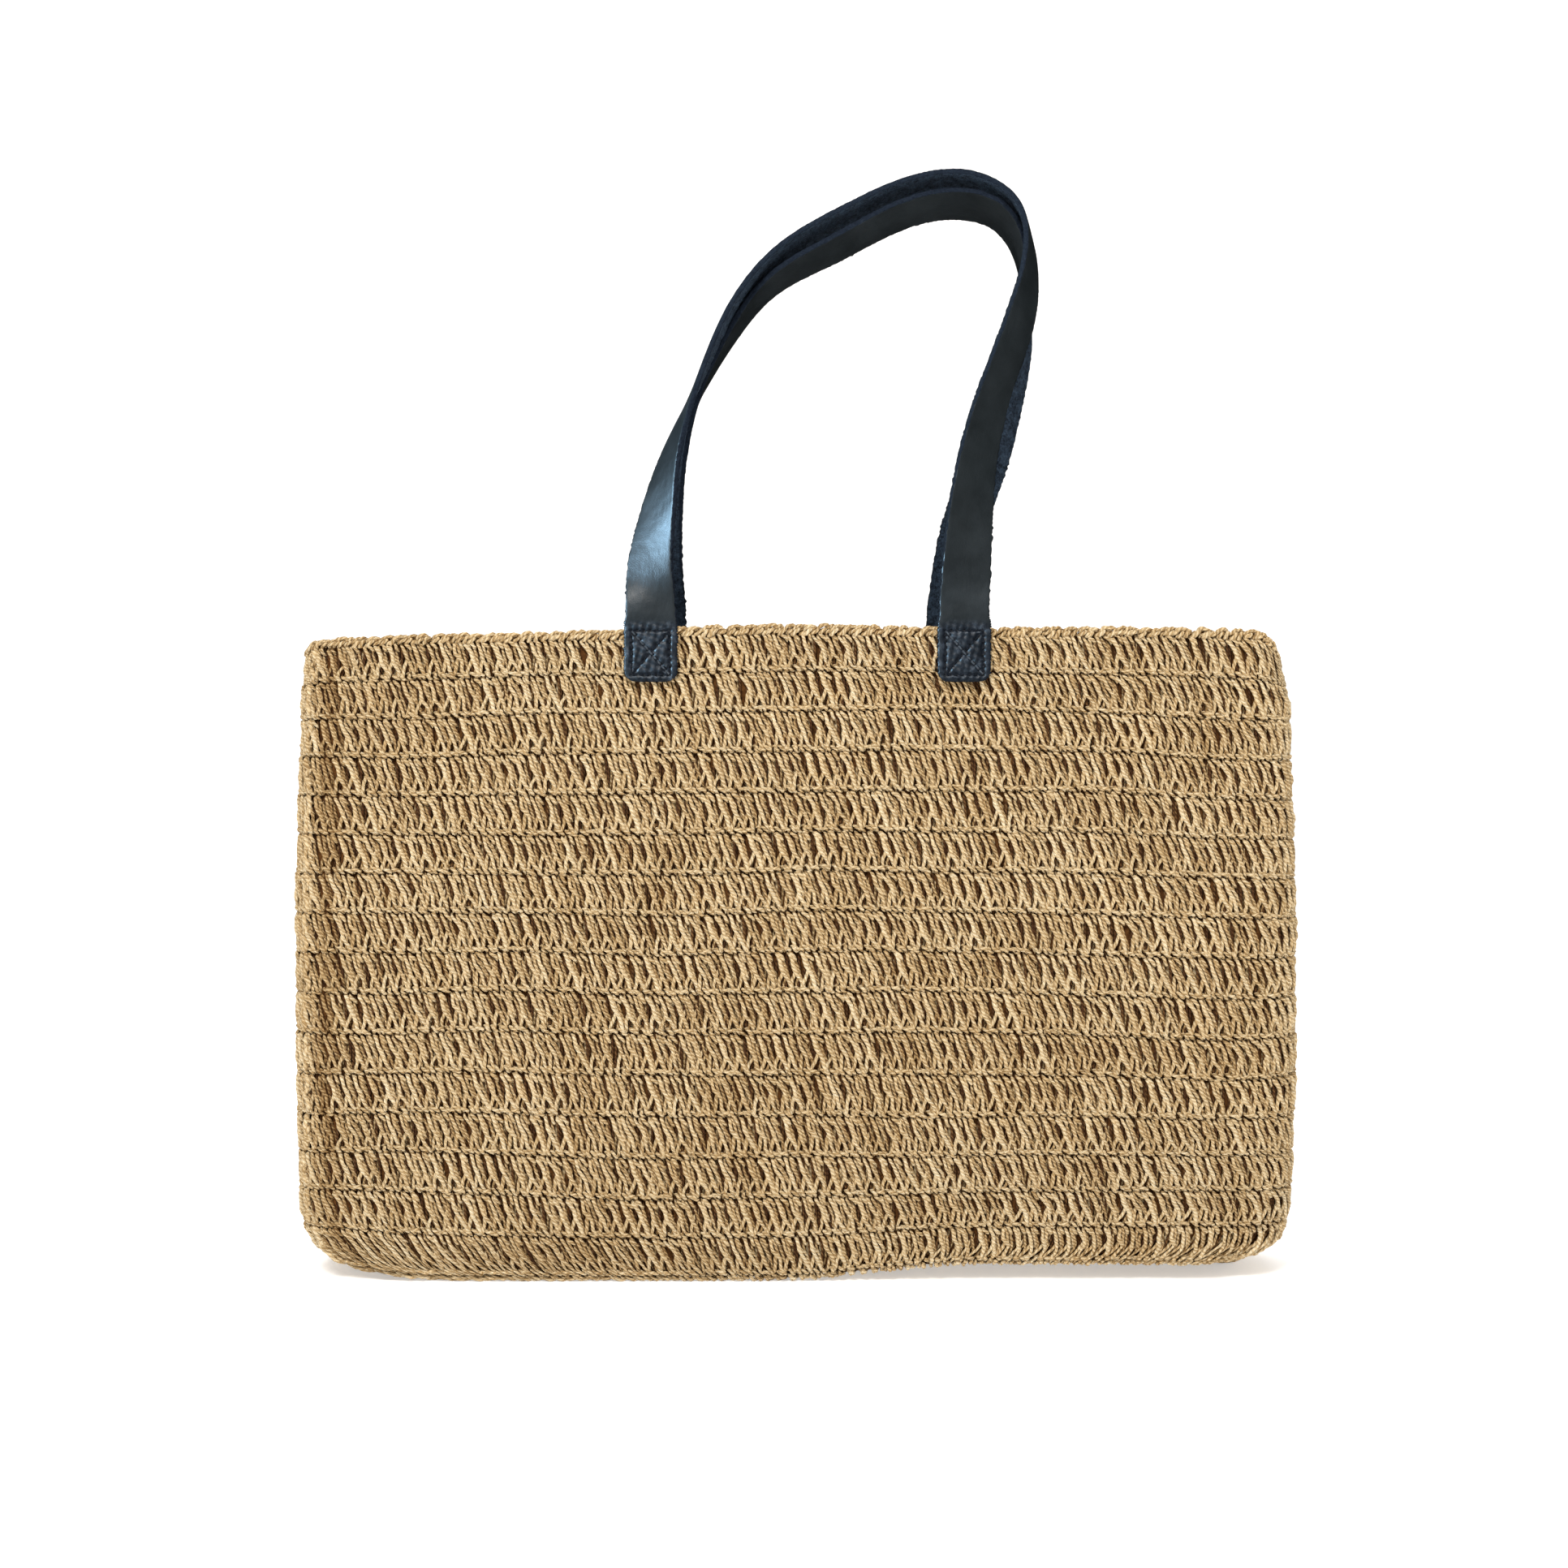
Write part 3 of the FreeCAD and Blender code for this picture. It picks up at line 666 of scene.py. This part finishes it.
join_kinds = [stitch_variant(JOIN_STRANDS) for _ in range(VARIANTS)]
join_column("upper", range(WALL_ROUNDS // 2))
join_column("lower", range(WALL_ROUNDS // 2, WALL_ROUNDS))


# ------------------------------------------------------------------ the handles

WIDTH, THICK = 25.0, 2.8
BAG_FACE, STRAP_GAP = 26.0, 0.1  # from the middle plane to the bag's face, and on to the strap
STRAP_Y = BAG_FACE + STRAP_GAP + THICK / 2
STRAP_FOOT, FOLD = 298.0, 331.2
STRAP_X = {"front": (-72.6, 84.0), "rear": (-70.2, 81.6)}
SIDE = {"front": -1, "rear": 1}
LOOP_ROWS, TAB_ROWS = 460, 80
# A loop's middle line as x, y, z and the turn about it: 0 faces the front or rear, 90 outwards.
ROUTES = {
    "front": [(-73.0, -25.5, 355.0, 24), (-70.0, -22.5, 380.0, 42), (-63.0, -18.0, 414.0, 66),
              (-50.0, -12.0, 449.5, 86), (-34.0, -8.0, 484.8, 94), (-10.0, -5.5, 515.4, 97),
              (25.0, -5.0, 537.3, 96), (60.0, -5.0, 552.3, 96), (90.0, -5.0, 554.4, 95),
              (112.0, -7.0, 541.5, 88), (119.0, -12.0, 510.0, 68), (114.0, -15.5, 484.0, 52),
              (101.0, -20.0, 447.0, 49), (90.0, -24.5, 404.0, 35), (85.5, -27.0, 360.0, 12)],
    "rear": [(-71.0, 25.5, 358.0, 20), (-69.5, 23.0, 382.0, 36), (-64.0, 19.5, 412.0, 58),
             (-49.5, 13.5, 451.0, 86), (-32.0, 7.5, 480.8, 94), (-13.0, 0.5, 502.6, 100),
             (20.0, -4.0, 520.8, 106), (52.0, -5.0, 537.0, 107), (82.0, -5.0, 543.5, 108),
             (102.8, -2.0, 538.6, 106), (114.0, 4.5, 525.6, 97), (118.0, 11.0, 507.0, 82),
             (118.5, 16.5, 482.0, 64), (111.5, 19.5, 450.0, 48), (101.5, 22.5, 417.0, 34),
             (89.0, 25.5, 383.0, 18), (83.5, 27.0, 350.0, 6)],
}
TURN_EASED_OVER = 30  # rows of a loop over which its turns are smoothed
LEVEL_ENDS = 20       # mm from each foot over which a loop starts to turn


def strap_line(which):
    """The strap's middle line from one sewn end to the other, with its directions."""
    y = SIDE[which] * STRAP_Y
    left, right = STRAP_X[which]
    route = [(left, y, FOLD, 0), *ROUTES[which], (right, y, FOLD, 0)]
    points = np.array([q[:3] for q in route], float)
    marks = np.r_[0, np.cumsum(np.linalg.norm(np.diff(points, axis=0), axis=1))]
    s = np.linspace(0, marks[-1], LOOP_ROWS)
    loop = spline(marks, points, s, ends=((0, 0, 1.0), (0, 0, -1.0)))
    turn = np.interp(s, marks, [q[3] for q in route])
    kernel = np.hanning(TURN_EASED_OVER + 1)
    padded = np.pad(turn, TURN_EASED_OVER // 2, mode="edge")
    turn = np.convolve(padded, kernel / kernel.sum(), "valid")
    turn *= smooth_step(s / LEVEL_ENDS) * smooth_step((s[-1] - s) / LEVEL_ENDS)
    rise = np.linspace(STRAP_FOOT, FOLD, TAB_ROWS + 1)[:-1]
    flat = np.zeros(TAB_ROWS)
    tab_left = np.stack([flat + left, flat + y, rise], 1)
    tab_right = np.stack([flat + right, flat + y, rise], 1)[::-1]
    line = np.concatenate([tab_left, loop, tab_right])
    turn = np.radians(np.concatenate([flat, turn, flat]))
    along = np.gradient(line, axis=0)
    along /= np.linalg.norm(along, axis=1)[:, None]
    out = np.stack([-along[:, 2], 0 * turn, along[:, 0]], 1)
    out /= np.linalg.norm(out, axis=1)[:, None]
    front = np.array([0, -1.0, 0])
    face = front * np.cos(turn)[:, None] + out * np.sin(turn)[:, None]
    face *= -SIDE[which]
    across = np.cross(face, along)
    across /= np.linalg.norm(across, axis=1)[:, None]
    face = np.cross(along, across)
    length = np.r_[0, np.cumsum(np.linalg.norm(np.diff(line, axis=0), axis=1))]
    return line, face, across, length


SEAM_HALF, SEAM_FOOT, SEAM_HEIGHT = 9.5, 301.5, 22.0
STITCH = 3.1  # a sewn stitch's length
SEAM_CORNERS = [(-SEAM_HALF, SEAM_FOOT), (SEAM_HALF, SEAM_FOOT),
                (SEAM_HALF, SEAM_FOOT + SEAM_HEIGHT), (-SEAM_HALF, SEAM_FOOT + SEAM_HEIGHT)]
SEAM_LINES = [(SEAM_CORNERS[k], SEAM_CORNERS[(k + 1) % 4]) for k in range(4)]
SEAM_LINES += [(SEAM_CORNERS[3], SEAM_CORNERS[1]), (SEAM_CORNERS[0], SEAM_CORNERS[2])]
PAINTED_HIGHLIGHT_LINE = 4  # the diagonal whose thread lies on top, coloured lighter as a painted highlight


def to_segment(px, pz, a, b):
    """Distance of points from the segment between a and b."""
    a, b = np.array(a), np.array(b)
    d = b - a
    t = np.clip(((px - a[0]) * d[0] + (pz - a[1]) * d[1]) / (d @ d), 0, 1)
    return np.hypot(px - a[0] - t * d[0], pz - a[1] - t * d[1])


def seam_holes():
    """Where the thread goes through, along each line of the seam."""
    spots = []
    for start, end in SEAM_LINES:
        start, end = np.array(start), np.array(end)
        count = int(round(np.linalg.norm(end - start) / STITCH))
        spots += [tuple(start + (end - start) * k / count) for k in range(count + 1)]
    return spots


FACE_POINTS, RIM_POINTS = 45, 5
SMOOTH_SIDE, FLESH_SIDE, CUT_SIDE = 0, 1, 2  # a strap's materials, in order


def strap_section():
    """The cross section's points as (share of half the width, share of half the thickness), and
    each side's material."""
    wide = np.linspace(-1, 1, FACE_POINTS) * 0.975
    rim = [(0.992, 0.86), (1.0, 0.45), (1.004, 0.0), (1.0, -0.5), (0.992, -0.88)]
    points = [(a, 1.0) for a in wide] + rim
    points += [(a, -1.0) for a in wide[::-1]] + [(-a, b) for a, b in rim[::-1]]
    kinds = []
    for side in (SMOOTH_SIDE, FLESH_SIDE):
        kinds += [side] * (FACE_POINTS - 1) + [CUT_SIDE] * (RIM_POINTS + 1)
    return np.array(points), np.array(kinds)


SEWN_LENGTH = 34.0                # of the strap's ends, which are wider and puckered
EXTRA_HALF, END_CORNER = 0.75, 6.0
RAGGED_EDGE, NOTCHES = 0.12, 0.24
CUP = 0.35                        # how far the loop's middle is bowed towards its smooth side
FUZZ, GRAIN = 0.20, 0.018
PUFF, CRUMPLE, DENT, HOLE = 0.34, 0.26, 0.38, 0.75
DENT_HALF, HOLE_HALF = 0.9, 0.75


def strap_offsets(line, across, length, section):
    """How far each point lies across and out from the middle line, and how pressed each row is."""
    n, m = len(line), len(section)
    from_end = np.minimum(length, length[-1] - length)
    tab = eases(from_end, SEWN_LENGTH, SEWN_LENGTH - 6)
    pressed = eases(from_end, SEWN_LENGTH - 2, SEWN_LENGTH - 7)[:, None]
    corner = np.clip(1 - from_end / END_CORNER, 0, 1)
    half = WIDTH / 2 + EXTRA_HALF * tab - END_CORNER * (1 - np.sqrt(1 - corner ** 2))
    sx, sy = section[:, 0][None, :], section[:, 1][None, :]
    edge = np.clip((np.abs(sx) - 0.9) / 0.1, 0, 1)
    ragged = rng.normal(0, 1, (n, m))
    ragged = (ragged + np.roll(ragged, 1, 0) + np.roll(ragged, 1, 1)) / 2
    notches = np.repeat(rng.normal(0, 1, (n, 2)), m // 2, 1)
    a = sx * half[:, None] + (ragged * RAGGED_EDGE + notches * NOTCHES) * edge * np.sign(sx)
    cup = CUP * (1 - sx ** 2) * (1 - tab[:, None])
    t = sy * THICK / 2 * (1 - 0.12 * edge) + cup
    flesh = sy < 0
    t += np.where(flesh, ragged * FUZZ, ragged * GRAIN) * (1 - edge)
    # the sewn ends pucker where the thread pulls them down
    x_here = a * np.sign(across[:, 0])[:, None]
    far_away = 1e3
    z_here = np.where(from_end[:, None] < SEWN_LENGTH, line[:, 2][:, None], far_away) + 0 * a
    dent, hole = np.zeros_like(a), np.zeros_like(a)
    for start, end in SEAM_LINES:
        d = to_segment(x_here, z_here, start, end)
        dent = np.maximum(dent, np.exp(-(d / DENT_HALF) ** 2))
    for spot_x, spot_z in seam_holes():
        d = np.hypot(x_here - spot_x, z_here - spot_z)
        hole = np.maximum(hole, np.exp(-(d / HOLE_HALF) ** 2))
    puff = pressed * (1 - np.abs(sx) ** 4)
    crumple = CRUMPLE * np.sin(x_here * 1.3 + z_here * 0.7) * np.sin(z_here * 1.1 - x_here * 0.5)
    t += np.where(flesh, 0, (PUFF + crumple) * puff - DENT * dent - HOLE * hole)
    # the very tip is pressed thinner
    thin = 1 - 0.35 * np.clip(1 - from_end / 1.6, 0, 1)[:, None]
    return a, t * thin, pressed[:, 0]


def end_cap(first):
    """The faces that close a strap's end, on the ring of points that starts at first."""
    top = [first + q for q in range(FACE_POINTS)]
    rim_a = [top[-1] + 1 + q for q in range(RIM_POINTS)]
    low = [rim_a[-1] + 1 + q for q in range(FACE_POINTS)]
    rim_b = [low[-1] + 1 + q for q in range(RIM_POINTS)][::-1]
    low = low[::-1]
    faces = [(top[q], low[q], low[q + 1], top[q + 1]) for q in range(FACE_POINTS - 1)]
    faces.append((top[-1], low[-1], rim_a[4], rim_a[0]))
    faces.append((rim_a[0], rim_a[4], rim_a[3], rim_a[1]))
    faces.append((top[0], rim_b[0], rim_b[4], low[0]))
    faces.append((rim_b[0], rim_b[1], rim_b[3], rim_b[4]))
    return np.array(faces)


def build_strap(which):
    line, face, across, length = strap_line(which)
    section, kinds = strap_section()
    n, m = len(line), len(section)
    a, t, pressed = strap_offsets(line, across, length, section)
    points = (line[:, None, :] + across[:, None, :] * a[..., None] + face[:, None, :] * t[..., None])
    i = np.arange(n - 1)[:, None]
    k = np.arange(m)[None, :]
    j = (k + 1) % m
    quads = np.stack([i * m + k, i * m + j, (i + 1) * m + j, (i + 1) * m + k], -1).reshape(-1, 4)
    v = np.linspace(0, 1, m + 1)
    u = length / 10

    def uv_at(row, column):
        return np.stack([u[row] + 0 * column, v[column] + 0 * row], -1)

    uv = np.stack([uv_at(i, k), uv_at(i, k + 1), uv_at(i + 1, k + 1), uv_at(i + 1, k)], 2)
    caps = np.concatenate([end_cap(0), end_cap((n - 1) * m)[:, ::-1]])
    quads = np.concatenate([quads, caps])
    uv = np.concatenate([uv.reshape(-1, 4, 2), np.zeros((len(caps), 4, 2))])
    index = np.concatenate([np.tile(kinds, n - 1), np.full(len(caps), CUT_SIDE)])
    strap = mesh_object(f"{which}_handle_strap", points.reshape(-1, 3), quads, uv, "strap",
                        [SMOOTH, FLESH, EDGE], tone=np.repeat(pressed, m), material_index=index)
    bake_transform(strap)
    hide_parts(f"{which}_handle_loop", f"{which}_left_strap_end", f"{which}_right_strap_end")
    return strap


straps = [build_strap(which) for which in SIDE]

THREAD_RADIUS = 0.46
THREAD_LIFT, TOP_LINE_LIFT = 0.15, 0.55  # how high a stitch's middle stands


def sew(which, hand):
    """The thread stitches of a box seam, each dipping into the leather at its ends."""
    x0 = STRAP_X[which][hand == "right"]
    face = STRAP_Y + THICK / 2
    parts, tones = [], []
    for k, (start, end) in enumerate(SEAM_LINES):
        start, end = np.array(start), np.array(end)
        reach = np.linalg.norm(end - start)
        count = int(round(reach / STITCH))
        way = (end - start) / reach
        # the thread of the diagonal on top gets the painted highlight
        painted_highlight = k == PAINTED_HIGHLIGHT_LINE
        lift = TOP_LINE_LIFT if painted_highlight else THREAD_LIFT
        shoulder = face - 0.30 + lift / 2
        heights = [face - 0.95, shoulder, face - 0.15 + lift, shoulder, face - 0.95]
        for q in range(count):
            a = start + way * (reach * (q + 0.10) / count)
            b = start + way * (reach * (q + 0.90) / count)
            mid = (a + b) / 2 + rng.normal(0, 0.10, 2)
            spots = [a, a * 0.8 + b * 0.2, mid, a * 0.2 + b * 0.8, b]
            # worked out with y and z exchanged, because a tube can't run along z
            line = [(x0 + p[0], p[1], SIDE[which] * y) for p, y in zip(spots, heights)]
            parts.append(tube(line, THREAD_RADIUS, 7, 8, lobes=0.10, turns=2.5, uv_scale=1.0))
            tones.append(np.full(len(parts[-1][0]), float(painted_highlight)))
    v, q, w = join(parts)
    seam = mesh_object(f"{which}_{hand}_seam_thread", v[:, [0, 2, 1]], q[:, ::-1], w[:, ::-1],
                       "strand", [THREAD], tone=np.concatenate(tones))
    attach(seam, "bag")
    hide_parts(f"{which}_{hand}_box_seam")


PATCH_POINTS = 30       # along each side of a patch
PATCH_SQUARENESS = 9    # the power of its outline: 2 is an ellipse, and more is squarer
PATCH_RIM_HALF = 0.45   # half its thickness at the rim
PATCH_PUCKER = 0.12


def patch(which, hand):
    """The leather patch inside, with rounded corners and slight puckers."""
    low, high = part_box(f"{which}_{hand}_backing_patch")
    low, high = np.array(low) / MM, np.array(high) / MM
    centre, size = (low + high) / 2, high - low
    n = PATCH_POINTS
    gx, gz = np.meshgrid(np.linspace(-1, 1, n), np.linspace(-1, 1, n))
    reach = (np.abs(gx) ** PATCH_SQUARENESS + np.abs(gz) ** PATCH_SQUARENESS) ** (1 / PATCH_SQUARENESS)
    shrink = np.minimum(1, np.maximum(np.abs(gx), np.abs(gz)) / np.maximum(reach, 1e-6))
    gx, gz = gx * shrink, gz * shrink
    rim = np.maximum(np.abs(gx), np.abs(gz)) > 0.985
    inward = -SIDE[which]
    x = centre[0] + gx * size[0] / 2
    z = centre[2] + gz * size[2] / 2
    puckers = PATCH_PUCKER * np.sin(x * 2.1) * np.sin(z * 1.9)
    thick = np.where(rim, PATCH_RIM_HALF, size[1] / 2) + puckers
    faces = [np.stack([x, centre[1] + side * thick, z], -1).reshape(-1, 3)
             for side in (inward, -inward)]
    points = np.concatenate(faces)
    i, k = np.meshgrid(np.arange(n - 1), np.arange(n - 1), indexing="ij")
    a = (i * n + k).ravel()
    top = np.stack([a, a + 1, a + n + 1, a + n], 1)
    back = top[:, ::-1] + n * n
    ring = ([*range(n)] + [q * n + n - 1 for q in range(1, n)]
            + [(n - 1) * n + q for q in range(n - 2, -1, -1)] + [q * n for q in range(n - 2, 0, -1)])
    following = ring[1:] + ring[:1]
    wall = [(p, p + n * n, q + n * n, q) for p, q in zip(ring, following)]
    quads = np.concatenate([top, back, np.array(wall)])
    if inward > 0:
        quads = quads[:, ::-1]
    uv = points[quads][:, :, [0, 2]] / 10
    piece = mesh_object(f"{which}_{hand}_patch", points, quads, uv, "strap", [PATCH])
    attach(piece, "bag")
    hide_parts(f"{which}_{hand}_backing_patch")


for which in SIDE:
    for hand in ("left", "right"):
        sew(which, hand)
        patch(which, hand)

# ------------------------------------------------------------------ floor, light and camera

WHITE = (1.0, 1.0, 1.0, 1)


def white_sweep():
    """A white floor that curves up into a wall behind, in metres."""
    n = Nodes("white_sweep")
    material = n.finish(Base_Color=(0.93, 0.93, 0.93, 1), Roughness=0.9, Specular_IOR_Level=0.1,
                        Emission_Color=WHITE, Emission_Strength=0.40)
    near, curve_start, curve, top, half_width = -3.0, 2.0, 1.5, 6.0, 4.0
    profile = [(near, 0.0), (curve_start, 0.0)]
    profile += [(curve_start + curve * math.sin(a), curve - curve * math.cos(a))
                for a in np.linspace(0.1, math.pi / 2, 14)]
    profile += [(curve_start + curve, top)]
    points = [(x / MM, y / MM, z / MM) for y, z in profile for x in (-half_width, half_width)]
    quads = np.array([(2 * k, 2 * k + 1, 2 * k + 3, 2 * k + 2) for k in range(len(profile) - 1)])
    sweep = mesh_object("white_sweep", np.array(points), quads, np.zeros((len(quads), 4, 2)),
                        "sweep", [material])
    sweep.visible_glossy = False


def white_wall():
    """A white wall all round, which only closes the view and lights nothing."""
    n = Nodes("white_wall")
    material = n.finish(Base_Color=(0.0, 0.0, 0.0, 1), Roughness=1.0, Specular_IOR_Level=0.0,
                        Emission_Color=WHITE, Emission_Strength=1.0)
    radius, height, sides = 6600.0, 9000.0, 64
    turn = np.arange(sides) * 2 * math.pi / sides
    points = np.concatenate([np.stack([radius * np.cos(turn), radius * np.sin(turn), 0 * turn + z], 1)
                             for z in (-height, height)])
    k = np.arange(sides)
    j = (k + 1) % sides
    quads = np.stack([k, k + sides, j + sides, j], 1)
    wall = mesh_object("white_wall", points, quads, np.zeros((sides, 4, 2)), "sweep", [material])
    wall.visible_glossy = wall.visible_diffuse = wall.visible_shadow = False


def softbox(name, place, aim, size, power, color, shine=True, glow=True, only=None):
    """A rectangular lamp. Without shine it isn't mirrored, and without glow it is only mirrored.
    With only, it reaches just those pieces."""
    light = bpy.data.lights.new(name, "AREA")
    light.shape, light.size, light.size_y = "RECTANGLE", size[0], size[1]
    light.energy, light.color = power, color
    lamp = bpy.data.objects.new(name, light)
    bpy.context.scene.collection.objects.link(lamp)
    lamp.location = place
    way = Vector(aim) - Vector(place)
    lamp.rotation_euler = way.to_track_quat("-Z", "Y").to_euler()
    lamp.visible_glossy, lamp.visible_diffuse = shine, glow
    if only:
        lit = bpy.data.collections.new(f"{name}_receivers")
        for piece in only:
            lit.objects.link(piece)
        lamp.light_linking.receiver_collection = lit


white_sweep()
white_wall()
softbox("key", (-0.55, -1.7, 2.0), (0.05, 0, 0.25), (0.8, 0.8), 54, (1.0, 0.98, 0.95))
softbox("left", (-1.7, -0.7, 0.75), (0, 0, 0.40), (0.5, 1.2), 8, (0.90, 0.95, 1.0), only=straps)
# the bluish light mirrored in the front strap's left leg
softbox("window", (-1.75, -0.62, 0.60), (0, 0, 0.36), (0.52, 0.52), 116, (0.42, 0.72, 1.0),
        glow=False, only=straps[:1])
softbox("right", (2.0, -1.6, 1.1), (0, 0, 0.25), (1.0, 1.0), 13, (1.0, 0.97, 0.93), shine=False)
softbox("top", (0.1, 0.5, 2.4), (0, 0, 0.2), (2.0, 1.4), 28, (1.0, 1.0, 1.0), shine=False)

world = bpy.data.worlds.new("studio")
bpy.context.scene.world = world
world.use_nodes = True
world.node_tree.nodes["Background"].inputs["Color"].default_value = (1.0, 0.97, 0.92, 1)
world.node_tree.nodes["Background"].inputs["Strength"].default_value = 0.38
world.cycles_visibility.glossy = False
bpy.context.scene.view_settings.view_transform = "Standard"

camera = bpy.data.cameras.new("camera")
camera.sensor_width, camera.lens = 36.0, 44.69
camera.clip_end = 60
eye = bpy.data.objects.new("camera", camera)
bpy.context.scene.collection.objects.link(eye)
eye.location = (-0.006, -1.0, 0.247)
eye.rotation_euler = (math.radians(90), 0, 0)
bpy.context.scene.camera = eye
